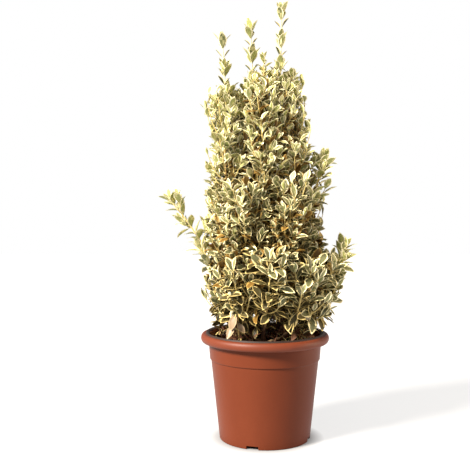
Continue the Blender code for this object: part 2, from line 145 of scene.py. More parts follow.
finishes = {  # pale and deep colour, scales of patches and grain, relief, roughness, shine, stretch along Z
    "potShell": ((0.113, 0.0236, 0.0080), (0.099, 0.0198, 0.0064), 9, 700, 0.00010, 0.42, 0.135, 0.6),
    # the roll's finish is paler and shinier than the shell's: a painted sheen along the roll
    "potRollPaintedSheen": ((0.133, 0.0276, 0.0096), (0.118, 0.0232, 0.0078), 14, 700, 0.00010, 0.50, 0.26, 1),
    # the inner wall is made far paler than the shell: painted light in the pot's shaded inside
    "potInsidePaintedLight": ((0.36, 0.125, 0.070), (0.24, 0.080, 0.047), 24, 500, 0.0002, 0.55, 0.22, 1),
    "potLip": ((0.031, 0.017, 0.013), (0.021, 0.012, 0.009), 24, 500, 0.0002, 0.60, 0.22, 1),
    # the compost's own brown, made paler: painted light for the pot's shaded inside
    "compost": ((0.210, 0.088, 0.052), (0.088, 0.038, 0.024), 110, 620, 0.0012, 0.95, 0.22, 1),
    "oldBark": ((0.2, 0.115, 0.068), (0.075, 0.038, 0.024), 110, 520, 0.0008, 0.85, 0.22, 0.22),
    "youngBark": ((0.32, 0.21, 0.1), (0.16, 0.095, 0.048), 120, 600, 0.0004, 0.7, 0.22, 0.25),
}
plainColours = {  # leaves and twigs have colours without a pattern, which any copy of the model keeps
    "twigPale": ((0.76, 0.68, 0.38), 0.6),
    "twigGreen": ((0.54, 0.42, 0.155), 0.6),
    "twigTan": ((0.46, 0.30, 0.11), 0.7),
    "twigOld": ((0.15, 0.062, 0.034), 0.8),
}
leafParts = ("Middle", "Band", "Edge", "Under")
leafTints = {  # colour of a leaf's middle, of the streaks beside it, of its edge and of its underside
    "young": ((0.31, 0.322, 0.100), (0.58, 0.532, 0.235), (0.89, 0.810, 0.53), (0.28, 0.275, 0.110)),
    "bright": ((0.148, 0.158, 0.057), (0.41, 0.380, 0.172), (0.91, 0.810, 0.51), (0.20, 0.195, 0.080)),
    "grown": ((0.063, 0.0700, 0.026), (0.235, 0.219, 0.098), (0.90, 0.775, 0.41), (0.122, 0.120, 0.050)),
    "deep": ((0.023, 0.0230, 0.008), (0.083, 0.071, 0.028), (0.62, 0.472, 0.180), (0.066, 0.051, 0.016)),
    # the amber tint is painted warm shade, for light through the leaves deep in the crown
    "amber": ((0.115, 0.060, 0.011), (0.18, 0.10, 0.020), (0.38, 0.24, 0.060), (0.155, 0.082, 0.015)),
    "tan": ((0.40, 0.25, 0.060), (0.50, 0.34, 0.090), (0.64, 0.46, 0.17), (0.44, 0.28, 0.065)),
    "faded": ((0.20, 0.125, 0.070), (0.23, 0.155, 0.090), (0.31, 0.225, 0.130), (0.22, 0.145, 0.080)),
    "brown": ((0.078, 0.033, 0.017), (0.095, 0.041, 0.020), (0.130, 0.058, 0.027), (0.100, 0.043, 0.021)),
}
leafRoughness = 0.45
leafShine = 0.38


def plainMaterial(name, colour, roughness, shine=0.22):
    material = bpy.data.materials.new(name)
    material.use_nodes = True
    inputs = material.node_tree.nodes["Principled BSDF"].inputs
    inputs["Base Color"].default_value = (*colour, 1)
    inputs["Roughness"].default_value, inputs["Specular IOR Level"].default_value = roughness, shine
    return material


def mottledMaterial(name, pale, deep, patches, grain, relief, roughness, shine, stretch):
    material = plainMaterial(name, pale, roughness, shine)
    tree = material.node_tree
    shader, where = tree.nodes["Principled BSDF"], newNode(tree, "TexCoord")
    mapping = newNode(tree, "Mapping", {"Scale": (1, 1, stretch)})
    bump = newNode(tree, "Bump", {"Distance": relief})
    look = {"Pale": (*pale, 1), "Deep": (*deep, 1), "Patches": patches, "Grain": grain}
    group = newNode(tree, "Group", look, node_tree=mottle)
    connect(
        tree, (where, "Object", mapping, "Vector"), (mapping, "Vector", group, "Vector"),
        (group, "Color", shader, "Base Color"), (group, "Height", bump, "Height"),
        (bump, "Normal", shader, "Normal"),
    )
    return material


mottle = mottleGroup()
materials = {name: mottledMaterial(name, *look) for name, look in finishes.items()}
materials.update({name: plainMaterial(name, *look) for name, look in plainColours.items()})
for tint, colours in leafTints.items():
    for part, colour in zip(leafParts, colours):
        name = "leaf" + tint.title() + part
        materials[tint + part] = plainMaterial(name, colour, leafRoughness, leafShine)
print("finishes ready:", len(materials))


# Helpers

def place(azimuth, radius, height):
    angle = math.radians(azimuth)
    return Vector((radius * math.cos(angle), radius * math.sin(angle), height))


def addObject(name, data):
    obj = bpy.data.objects.new(name, data)
    scene.collection.objects.link(obj)
    return obj


def showMesh(name, mesh, materialNames, sharpAngle, replaced=()):
    for material in materialNames:
        mesh.materials.append(materials[material])
    mesh.shade_smooth()
    mesh.set_sharp_from_angle(angle=math.radians(sharpAngle))
    obj = addObject(name, mesh)
    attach(obj, "root")
    if replaced:
        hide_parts(*replaced)


def meshFrom(bm, name):
    mesh = bpy.data.meshes.new(name)
    bm.to_mesh(mesh)
    bm.free()
    return mesh


def spun(profile, steps):
    # turns a line of (radius, height) round the Z axis and closes its poles
    bm = bmesh.new()
    points = [bm.verts.new((r, 0, z)) for r, z in profile]
    edges = [bm.edges.new(pair) for pair in zip(points, points[1:])]
    bmesh.ops.spin(bm, geom=points + edges, cent=(0, 0, 0), axis=(0, 0, 1), angle=math.tau, steps=steps,
                   use_merge=True)
    bmesh.ops.remove_doubles(bm, verts=bm.verts[:], dist=0.00002)
    bmesh.ops.recalc_face_normals(bm, faces=bm.faces[:])
    return bm


def mix(low, high, t):
    return low + (high - low) * t


def ramp(value, low, high):
    return min(max((value - low) / (high - low), 0), 1)


def arc(centre, radii, start, end, steps):
    angles = [math.radians(mix(start, end, i / steps)) for i in range(steps + 1)]
    return [(centre[0] + radii[0] * math.cos(a), centre[1] + radii[1] * math.sin(a)) for a in angles]


def curvePoint(ends, t):
    a, b, c = ends
    return a * (1 - t) ** 2 + b * 2 * t * (1 - t) + c * t**2


def curveDirection(ends, t):
    a, b, c = ends
    return ((b - a) * (1 - t) + (c - b) * t).normalized()


def sideOf(axis, degrees):
    start = axis.cross(up)
    if start.length < 0.05:
        start = axis.cross(Vector((0, 1, 0)))
    return Matrix.Rotation(math.radians(degrees), 3, axis) @ start.normalized()


# Pot: the shell is turned, then the drain holes and the notches in its foot are cut

pot = {
    "top": 0.267, "rimRadius": 0.160, "rimInner": 0.1445, "rollCentre": 0.2526, "rollHalf": 0.0106,
    "rollSteps": 16, "collarTop": 0.1405, "collarFoot": 0.1375, "collarZ": 0.200, "collarRound": 0.0012,
    "collarHeight": 0.0410, "bodyTop": 0.1345, "bodyFoot": 0.1135, "bodyHeight": 0.1965, "chamfer": 0.0025,
    "wall": 0.0025, "grooveInner": 0.074, "grooveOuter": 0.104, "grooveHeight": 0.010, "steps": 128,
    "lip": (  # from the roll inwards: radius, depth under the top
        (0.1482, 0.0040), (0.1472, 0.0012), (0.1462, 0.0002), (0.1448, 0), (0.1425, 0.0006), (0.1396, 0.0022),
        (0.1386, 0.0032),
    ),
    "ledgeZ": 0.215, "ledgeWidth": 0.0016, "insideFrom": 0.21, "insideRadius": 0.1484,
    "notchWidth": 0.030, "notchHeight": 0.009, "notchOver": 0.006, "notchRound": 0.002,
    "notchAzimuths": (-107.5, -17.5, 72.5, 162.5), "drainRadius": 0.0065, "drainSides": 24,
}


def innerWall(z):
    return mix(pot["bodyFoot"], pot["bodyTop"], z / pot["collarZ"]) - pot["wall"]


def potProfile():
    p = pot
    floorTop, collarZ = p["grooveHeight"] + p["wall"], p["collarZ"]
    foot = [
        (0, 0), (p["grooveInner"], 0), (p["grooveInner"], p["grooveHeight"]),
        (p["grooveOuter"], p["grooveHeight"]), (p["grooveOuter"], 0), (p["bodyFoot"] - p["chamfer"], 0),
    ]
    corner = arc((p["bodyFoot"] - p["chamfer"], p["chamfer"]), (p["chamfer"],) * 2, -60, 0, 3)
    body = [(mix(p["bodyFoot"], p["bodyTop"], t), p["chamfer"] + p["bodyHeight"] * t)
            for t in (0.1, 0.25, 0.4, 0.55, 0.7, 0.85, 0.96)]
    step = [  # a fine groove under the collar
        (p["bodyTop"] - 0.0001, collarZ - 0.0014), (p["bodyTop"] - 0.0002, collarZ - 0.0002),
        (p["collarFoot"] - 0.0010, collarZ), (p["collarFoot"], collarZ + p["collarRound"]),
    ]
    collar = [(mix(p["collarFoot"], p["collarTop"], t), collarZ + p["collarRound"] + p["collarHeight"] * t)
              for t in (0.35, 0.7, 1)]
    middle, half = (p["rimInner"] + p["rimRadius"]) / 2, (p["rimRadius"] - p["rimInner"]) / 2
    roll = arc((middle, p["rollCentre"]), (half, p["rollHalf"]), -78, 112, p["rollSteps"])
    lip = [(radius, p["top"] - depth) for radius, depth in p["lip"]]
    inside = [
        (innerWall(collarZ) + p["ledgeWidth"], p["ledgeZ"]), (innerWall(collarZ), collarZ - p["wall"]),
        (innerWall(floorTop), floorTop), (p["grooveInner"] - p["wall"], floorTop),
        (p["grooveInner"] - p["wall"], p["wall"]), (0, p["wall"]),
    ]
    return foot + corner + body + step + collar + roll + lip + inside


def cutPot(shell):
    cutters = bpy.data.collections.new("potCutters")
    scene.collection.children.link(cutters)
    near, far = pot["grooveOuter"] - pot["notchOver"], pot["bodyFoot"] + pot["notchOver"]
    notchSize = Matrix.Diagonal((far - near, pot["notchWidth"], pot["notchHeight"] * 2, 1))
    notchSpot = Matrix.Translation(((near + far) / 2, 0, 0))
    middle = (pot["grooveInner"] + pot["grooveOuter"]) / 2
    holeSpot = Matrix.Translation((middle, 0, pot["grooveHeight"] + pot["wall"] / 2))
    for azimuth in pot["notchAzimuths"]:
        notch, hole = bmesh.new(), bmesh.new()
        bmesh.ops.create_cube(notch, size=1, matrix=notchSpot @ notchSize)
        lengthwise = [e for e in notch.edges if abs(e.verts[0].co.x - e.verts[1].co.x) > pot["wall"]]
        bmesh.ops.bevel(notch, geom=lengthwise, offset=pot["notchRound"], affect="EDGES", segments=3,
                        profile=0.5, material=-1)
        bmesh.ops.create_cone(hole, cap_ends=True, segments=pot["drainSides"], radius1=pot["drainRadius"],
                              radius2=pot["drainRadius"], depth=pot["wall"] * 3, matrix=holeSpot)
        for bm in (notch, hole):
            bmesh.ops.transform(bm, matrix=Matrix.Rotation(math.radians(azimuth), 4, "Z"), verts=bm.verts[:])
            cutters.objects.link(bpy.data.objects.new("potCutter", meshFrom(bm, "potCutter")))
    cut = shell.modifiers.new("cut", "BOOLEAN")
    cut.operation, cut.operand_type, cut.collection, cut.solver = "DIFFERENCE", "COLLECTION", cutters, "EXACT"
    mesh = bpy.data.meshes.new_from_object(shell.evaluated_get(bpy.context.evaluated_depsgraph_get()))
    shell.modifiers.clear()
    for helper in list(cutters.objects):
        bpy.data.objects.remove(helper)
    bpy.data.collections.remove(cutters)
    return mesh


def makePot():
    raw = addObject("rawPot", meshFrom(spun(potProfile(), pot["steps"]), "rawPot"))
    mesh = cutPot(raw)
    bpy.data.objects.remove(raw)
    lipFoot = pot["top"] - pot["lip"][0][1]
    for face in mesh.polygons:
        r, z = face.center.xy.length, face.center.z
        outward = face.normal.xy.dot(face.center.xy.normalized())
        # faces inside the pot below the lip take the paler inner finish: painted light
        inside = z > pot["insideFrom"] and r < pot["insideRadius"] and (outward < 0.5 or z > lipFoot)
        # the roll's outer faces take the paler, shinier finish: a painted sheen
        rolled = z > pot["rollCentre"] - pot["rollHalf"] and r > pot["collarTop"] + 0.001
        face.material_index = (1 if z < lipFoot else 2) if inside else 3 if rolled else 0
    showMesh("turnedPot", mesh, ("potShell", "potInsidePaintedLight", "potLip", "potRollPaintedSheen"), 32, ("pot",))


makePot()
print("pot made")


# Compost: it fills the pot, highest round the stems, with crumbs and fallen leaves on it

soilTop = 0.227
compost = {
    "edge": 0.1322, "edgeZ": 0.219, "flat": 0.075, "steps": 96, "rings": 20, "depth": 0.030, "sunk": 0.0005,
    "lumps": 0.0026, "lumpScales": (55, 150), "lumpsFrom": (0.02, 0.05), "crumbs": 420,
    "crumbSize": (0.0010, 0.0034), "crumbShape": ((0.7, 1.5), (0.7, 1.1), (0.5, 0.9)),
}


def soilHeight(x, y):
    r = math.hypot(x, y)
    level = mix(soilTop, compost["edgeZ"], ramp(r, compost["flat"], compost["edge"]))
    coarse, fine = compost["lumpScales"]
    lump = noise.noise(Vector((x, y, 0)) * coarse) + 0.5 * noise.noise(Vector((x, y, 3)) * fine)
    return level - compost["sunk"] + lump * compost["lumps"] * ramp(r, *compost["lumpsFrom"])


def makeSoil():
    plan = compost
    top = [(plan["edge"] * i / plan["rings"], 1) for i in range(plan["rings"] + 1)]
    bm = spun(top + [(plan["edge"], 0), (0, 0)], plan["steps"])
    for vert in bm.verts:
        if vert.co.z > 0.5:
            vert.co.z = soilHeight(vert.co.x, vert.co.y)
        else:
            vert.co.z = plan["edgeZ"] - plan["depth"]
    bmesh.ops.recalc_face_normals(bm, faces=bm.faces[:])
    dice = random.Random(f"{seed} crumbs")
    for _ in range(plan["crumbs"]):
        x, y = place(dice.uniform(0, 360), plan["edge"] * 0.96 * math.sqrt(dice.random()), 0).xy
        size = mix(*plan["crumbSize"], dice.random() ** 3)
        turn = Matrix.Rotation(dice.uniform(0, math.tau), 4, Vector((dice.random(), dice.random(), 1)))
        squash = Matrix.Diagonal((*(dice.uniform(*side) for side in plan["crumbShape"]), 1))
        spot = Matrix.Translation((x, y, soilHeight(x, y) + size * 0.3))
        bmesh.ops.create_icosphere(bm, subdivisions=1, radius=size, matrix=spot @ turn @ squash)
    showMesh("compostBed", meshFrom(bm, "compostBed"), ("compost",), 50, ("soil",))


makeSoil()
print("compost made")


# Limbs: the stems and boughs of the model's source. A place is (azimuth, radius, height): 0 is the plant's
# right, 90 its back, 180 its left and 270 its front.

# Each stem: where it leaves the soil, its tip, its radius at the foot and at the tip.
stems = {
    "trunk": ((120, 0.006, soilTop), (180, 0.030, 0.800), 0.0085, 0.0023),
    "stem_left": ((200, 0.048, soilTop), (184, 0.098, 0.800), 0.0070, 0.0022),
    "stem_right": ((338, 0.048, soilTop), (345, 0.038, 0.810), 0.0070, 0.0022),
    "stem_front": ((262, 0.052, soilTop), (268, 0.075, 0.620), 0.0062, 0.0023),
    "stem_back_right": ((48, 0.047, soilTop), (52, 0.078, 0.600), 0.0062, 0.0023),
    "stem_back_left": ((128, 0.047, soilTop), (122, 0.082, 0.610), 0.0062, 0.0023),
}

# Each mass of leaves that a stem's tip carries: the stem, the mass's own tip.
stemMasses = {
    "leader_middle": ("trunk", (180, 0.037, 1.018)),
    "leader_left": ("stem_left", (180, 0.107, 0.992)),
    "leader_right": ("stem_right", (0, 0.040, 1.062)),
    "crown_front": ("stem_front", (256, 0.090, 0.850)),
    "crown_back_right": ("stem_back_right", (50, 0.075, 0.850)),
    "crown_back_left": ("stem_back_left", (130, 0.095, 0.860)),
}

# Each bough with the mass of leaves on it: its stem, its height on the stem, its tip, the mass's own tip.
boughs = {
    "crown_left": ("stem_left", 0.560, (202, 0.103, 0.620), (194, 0.112, 0.835)),
    "crown_right": ("stem_right", 0.560, (325, 0.082, 0.625), (318, 0.062, 0.830)),
    "top_right": ("stem_right", 0.715, (18, 0.064, 0.785), (8, 0.070, 0.905)),
    "top_front": ("trunk", 0.690, (262, 0.044, 0.775), (262, 0.045, 0.915)),
    "mid_left": ("stem_left", 0.350, (198, 0.100, 0.425), (198, 0.112, 0.620)),
    "mid_front_left": ("stem_front", 0.345, (242, 0.090, 0.420), (240, 0.108, 0.610)),
    "mid_front_right": ("stem_front", 0.365, (298, 0.090, 0.430), (300, 0.108, 0.620)),
    "mid_right": ("stem_right", 0.360, (8, 0.090, 0.425), (8, 0.094, 0.605)),
    "mid_back_right": ("stem_back_right", 0.345, (42, 0.094, 0.420), (42, 0.112, 0.610)),
    "mid_back": ("stem_back_right", 0.368, (88, 0.092, 0.430), (88, 0.112, 0.620)),
    "mid_back_left": ("stem_back_left", 0.350, (154, 0.095, 0.425), (156, 0.118, 0.610)),
    "low_left": ("stem_left", 0.246, (208, 0.090, 0.290), (206, 0.108, 0.420)),
    "low_front_left": ("stem_front", 0.252, (236, 0.096, 0.300), (236, 0.122, 0.425)),
    "low_front": ("stem_front", 0.280, (270, 0.102, 0.322), (270, 0.128, 0.445)),
    "low_front_right": ("stem_front", 0.250, (306, 0.100, 0.292), (306, 0.134, 0.430)),
    "low_right": ("stem_right", 0.246, (342, 0.104, 0.290), (346, 0.148, 0.430)),
    "low_back_right": ("stem_back_right", 0.246, (28, 0.100, 0.290), (30, 0.134, 0.430)),
    "low_back": ("stem_back_right", 0.268, (76, 0.096, 0.300), (76, 0.130, 0.425)),
    "low_back_left": ("stem_back_left", 0.248, (124, 0.098, 0.290), (124, 0.124, 0.425)),
    "sprig_left": ("stem_left", 0.310, (186, 0.124, 0.405), (183, 0.236, 0.596)),
    "sprig_right": ("stem_right", 0.300, (350, 0.138, 0.360), (350, 0.200, 0.480)),
    "sprig_high": ("stem_right", 0.490, (344, 0.108, 0.555), (344, 0.142, 0.695)),
}
boughNames = ["bough_" + name for name in boughs]
masses = {**stemMasses, **{name: ("bough_" + name, plan[3]) for name, plan in boughs.items()}}

limbs = {
    "stemSides": 20, "boughSides": 10, "ring": 0.004, "flare": 1.55, "flareShare": 0.035, "stemBend": 0.45,
    "boughBend": (0.85, 0.30), "boughRadii": (0.0029, 0.0021), "gap": 0.0004, "sunk": 0.002,
    "relief": 0.00045, "reliefShare": 0.08, "fine": (380, 70, 0), "coarse": (120, 30, 7), "fineShare": 0.6,
    "scarGap": 0.031, "scarRise": 0.10, "scarWidth": 0.0016,
}


def stemRadius(plan, t):
    flare = 1 + (limbs["flare"] - 1) * max(0, 1 - t / limbs["flareShare"]) ** 2
    return mix(plan[2], plan[3], t) * flare


def stemEnds(plan):
    foot, tip = place(*plan[0]), place(*plan[1])
    return foot, Vector((tip.x, tip.y, mix(foot.z, tip.z, limbs["stemBend"]))), tip


def shareAtHeight(ends, height):
    low, high = 0.0, 1.0
    for _ in range(30):
        middle = (low + high) / 2
        low, high = (middle, high) if curvePoint(ends, middle).z < height else (low, middle)
    return low


def boughEnds(plan):
    stem = stems[plan[0]]
    ends = stemEnds(stem)
    t = shareAtHeight(ends, plan[1])
    seat, along = curvePoint(ends, t), curveDirection(ends, t)
    tip = place(*plan[2])
    outward = tip - seat
    outward = (outward - along * outward.dot(along)).normalized()
    foot = seat + outward * (stemRadius(stem, t) + limbs["gap"])
    level, rise = limbs["boughBend"]
    bend = foot.lerp(tip, level)
    bend.z = mix(foot.z, tip.z, rise)
    return (foot, bend, tip), outward


def scarred(radius, distance):
    # a low ring wherever a pair of leaves once grew
    near = abs(distance / limbs["scarGap"] % 1 - 0.5) * limbs["scarGap"]
    return radius * (1 + limbs["scarRise"] * math.exp(-((near / limbs["scarWidth"]) ** 2)))


def startRing(bm, sides, matrix=Matrix()):
    # in an empty mesh: a circle with its face
    bmesh.ops.create_circle(bm, cap_ends=False, segments=sides, radius=1, matrix=matrix)
    edges = bm.edges[:]
    bmesh.ops.edgeloop_fill(bm, edges=edges)
    return edges


def nextRing(bm, edges):
    made = bmesh.ops.extrude_edge_only(bm, edges=edges)["geom"]
    ring = [part for part in made if isinstance(part, bmesh.types.BMVert)]
    edges = [part for part in made if isinstance(part, bmesh.types.BMEdge)]
    return ring, [e for e in edges if e.verts[0] in ring and e.verts[1] in ring]


def addTube(bm, points, radii, sides, side):
    # one ring is drawn out along the points, then both ends are closed
    edges, last = None, None
    for k, point in enumerate(points):
        ahead = (points[min(k + 1, len(points) - 1)] - points[max(k - 1, 0)]).normalized()
        side = (side - ahead * side.dot(ahead)).normalized()
        basis = Matrix((side, ahead.cross(side), ahead)).transposed().to_4x4()
        here = Matrix.Translation(point) @ basis @ Matrix.Scale(radii[k], 4)
        if last is None:
            edges = startRing(bm, sides, here)
        else:
            ring, edges = nextRing(bm, edges)
            bmesh.ops.transform(bm, matrix=here @ last.inverted(), verts=ring)
        last = here
    bmesh.ops.edgeloop_fill(bm, edges=edges)


def barkNoise(spot, across, along, shift):
    return noise.noise(Vector((spot.x * across + shift, spot.y * across, spot.z * along)))


def tubeMesh(ends, radiusAt, sides):
    length = sum((curvePoint(ends, (i + 1) / 20) - curvePoint(ends, i / 20)).length for i in range(20))
    steps = max(4, int(length / limbs["ring"]))
    shares = [i / steps for i in range(steps + 1)]
    points = [curvePoint(ends, t) for t in shares]
    radii = [scarred(radiusAt(t), t * length) for t in shares]
    relief = min(limbs["relief"], radiusAt(0) * limbs["reliefShare"])
    bm = bmesh.new()
    addTube(bm, points, radii, sides, (points[1] - points[0]).orthogonal())
    bmesh.ops.recalc_face_normals(bm, faces=bm.faces[:])
    bm.normal_update()
    for vert in bm.verts:
        fine, coarse = barkNoise(vert.co, *limbs["fine"]), barkNoise(vert.co, *limbs["coarse"])
        vert.co += vert.normal * (fine * limbs["fineShare"] + coarse) * relief
    return meshFrom(bm, "limb")


def joined(name, meshes):
    bm = bmesh.new()
    for index, mesh in meshes:
        first = len(bm.faces)
        bm.from_mesh(mesh)
        bm.faces.ensure_lookup_table()
        for face in bm.faces[first:]:
            face.material_index = index
        bpy.data.meshes.remove(mesh)
    return meshFrom(bm, name)


def makeLimbs():
    meshes, tips = [], {}
    for name, plan in stems.items():
        ends = stemEnds(plan)
        meshes.append((0, tubeMesh(ends, lambda t: stemRadius(plan, t), limbs["stemSides"])))
        tips[name] = (ends[2], (ends[2] - curvePoint(ends, 0.86)).normalized())
    for name, plan in boughs.items():
        ends, outward = boughEnds(plan)
        sunk = (ends[0] - outward * limbs["sunk"], ends[1], ends[2])
        meshes.append((1, tubeMesh(sunk, lambda t: mix(*limbs["boughRadii"], t), limbs["boughSides"])))
        tips["bough_" + name] = (ends[2], (ends[2] - curvePoint(ends, 2 / 3)).normalized())
    finished = joined("limbs", meshes)
    showMesh("limbs", finished, ("oldBark", "youngBark"), 60, [*stems, *boughNames])
    return tips


tips = makeLimbs()
print("limbs made")


# Shoots and leaves grow by one rule: a mass's own stem, shoots round it at the golden angle, side shoots on
# those, and crossed pairs of leaves from each tip back, small and upright at the tip, wide open further down.

# The kinds of mass, by the first word of a mass's name. Shoots start in the zone of its stem, spread is their
# length, narrowing how much shorter the upper ones are, sides the small shoots on each, space how far leaves
# may be from the stem, vigour how young they look, and free lets them pass the crown's outline.
kindFields = ("shoots", "zone", "spread", "narrowing", "lift", "sides", "stemPairs", "stemSpacing", "leaf",
              "pairs", "space", "vigour", "opening", "free")
kindRows = {
    "leader": (3, (0.02, 0.24), 0.040, 0.50, 0.90, 0, 0, 1, 0.032, 4, 0.0635, 0.50, 0.75, True),
    "crown": (27, (0.03, 0.95), 0.072, 0.46, 0.95, 1, 7, 0.88, 0.033, 7, 0.110, 0.20, 0.80, False),
    "top": (15, (0.05, 0.95), 0.048, 0.42, 1.10, 1, 6, 0.88, 0.030, 6, 0.083, 0.28, 0.78, False),
    "mid": (29, (0.02, 0.95), 0.078, 0.34, 0.72, 1, 7, 0.96, 0.037, 7, 0.111, 0.08, 0.90, False),
    "low": (26, (0.02, 0.95), 0.084, 0.20, 0.34, 1, 7, 1.04, 0.043, 7, 0.1165, -0.12, 1.05, False),
    "sprig": (5, (0.12, 0.84), 0.042, 0.35, 0.50, 0, 12, 1.136, 0.039, 4, 0.0795, 0.42, 0.72, True),
}
kinds = {name: dict(zip(kindFields, row)) for name, row in kindRows.items()}
innerKind = {  # short shoots that fill the crown, from the stems and between two masses
    "gap": 0.024, "zone": (0.13, 0.97), "spread": 0.060, "lift": 0.90, "rise": (0.048, 0.062), "sag": 0.006,
    "leaf": 0.031, "pairs": 6, "space": 0.080, "vigour": -0.08, "opening": 1.0, "free": False,
}
gapShoots = (  # azimuth, the feet's reach, their heights, the tips' reach, how many
    (268, (0.056, 0.034), (0.520, 0.628), (0.112, 0.096), 5),
    (1, (0.052, 0.046), (0.600, 0.800), (0.098, 0.072), 8),
    (178, (0.098, 0.104), (0.600, 0.790), (0.120, 0.112), 6),
    (90, (0.040, 0.036), (0.560, 0.780), (0.100, 0.080), 6),
)
crestKind = {"leaf": 0.029, "pairs": 7, "space": 0.060, "vigour": 0.40, "opening": 0.85, "free": True}
crestShoots = (  # short upright shoots between the leaders: where each starts and ends
    ((270, 0.030, 0.868), (256, 0.022, 0.942)),
    ((322, 0.036, 0.868), (332, 0.034, 0.926)),
)
# How far the crown's leaves reach from the pot's axis: height, left, right, front and back
crownOutline = (
    (0.27, 0.138, 0.170, 0.138), (0.31, 0.142, 0.184, 0.144), (0.35, 0.150, 0.190, 0.158),
    (0.39, 0.164, 0.202, 0.186), (0.44, 0.162, 0.204, 0.205), (0.48, 0.160, 0.184, 0.206),
    (0.52, 0.154, 0.157, 0.192), (0.56, 0.150, 0.142, 0.174), (0.62, 0.150, 0.146, 0.158),
    (0.67, 0.154, 0.156, 0.150), (0.71, 0.150, 0.152, 0.142), (0.75, 0.146, 0.120, 0.134),
    (0.80, 0.146, 0.114, 0.128), (0.85, 0.166, 0.102, 0.120), (0.89, 0.128, 0.094, 0.104),
    (0.92, 0.045, 0.084, 0.045), (0.95, 0.012, 0.030, 0.012),
)
heights, reachLeft, reachRight, reachDeep = zip(*crownOutline)
outlinePlay = (0.90, 1.09)
rosettes = {  # up the leader shoots; a pair is its leaves' length and how wide they open
    "first": 0.014, "step": (0.054, 0.066), "bareFoot": 0.06, "pairs": ((0.044, 6), (0.045, 12), (0.041, 19)),
    "pairGap": 0.0045, "thinPair": (0.030, 42), "thinBelow": 0.024, "tight": {"leader_right": 0.6},
}
shootPlan = {  # a list starts with the pair at the tip, and its last value holds for all pairs further down
    "opening": (16, 33, 46, 55, 60, 62), "size": (0.74, 0.92, 1.0, 1.02), "youth": (0.34, 0.16, 0.04, 0),
    "gap": (0.0040, 0.0082, 0.0116, 0.0134, 0.0142), "tipGap": 0.002, "bareFoot": 0.12, "missing": 0.12,
    "fewest": 3, "tone": 0.16, "broadFrom": 0.034, "broadShare": 0.6, "faceUp": 0.45,
    "droopBelow": 0.40, "droop": (0.1, 1.1),  # the leaves over the rim hang
}
twigPlan = {"sides": 5, "rings": 6, "stemRadii": (0.0026, 0.0016), "shootRadii": (0.0015, 0.0009),
            "sideRadii": (0.0010, 0.0007), "stemSteps": 4, "stemBend": 0.40, "skirt": 0.32}
leafPlan = {
    "rows": (0, 0.07, 0.19, 0.36, 0.56, 0.76, 0.91, 1), "petiole": 0.07, "petioleWidth": 0.042,
    "edgeAt": (0.64, 0.16), "underEdge": 0.74, "thickness": 0.016, "copies": 14,
    "streaks": (0.34, 0.10),  # share of the middle's faces, and of the edge's, in the streaks' colour
    "boxSlack": 0.005, "crowding": 0.0053,
}
tintPlan = {  # a leaf looks younger higher up, towards its shoot's tip, and at the crown's sides and crest; on the right side the paler tints are partly painted light
    "least": (("young", 0.60), ("bright", 0.28), ("grown", -0.03)), "youthAt": 0.40, "youthGain": (1.20, 2.2),
    "rightYouthAndPaintedLight": (0.06, 3.4), "leftYouth": (0.03, 2.3), "play": 0.10, "shade": (0.80, 0.86),
    # shade darkens leaves deep in the crown as painted shade, and some of them take the amber tint, painted
    # warm shade
    "crest": (0.77, 0.90), "tanShare": 0.004, "amberShoots": 0.007, "paintedShadeWithin": 0.74, "paintedShadeShare": 0.25,
}
leafForms = {  # width, fold along the midrib, how far the tip curls down, waves in the edge, twist
    "tip": dict(width=0.38, fold=0.65, curl=(-0.08, 0.06), wave=0.010, twist=0.12),
    "open": dict(width=0.47, fold=0.42, curl=(0.00, 0.18), wave=0.022, twist=0.28),
    "broad": dict(width=0.51, fold=0.25, curl=(0.10, 0.36), wave=0.030, twist=0.35),
}


def bladeWidth(v, width):
    petiole = leafPlan["petiole"]
    if v <= petiole:
        return leafPlan["petioleWidth"] / 2 * v / petiole
    u = (v - petiole) / (1 - petiole)
    blade = width / 2 * math.sin(math.pi * min(u, 1) ** 1.12) ** 0.96 if u < 1 else 0
    return max(blade, leafPlan["petioleWidth"] / 2 * (1 - u))


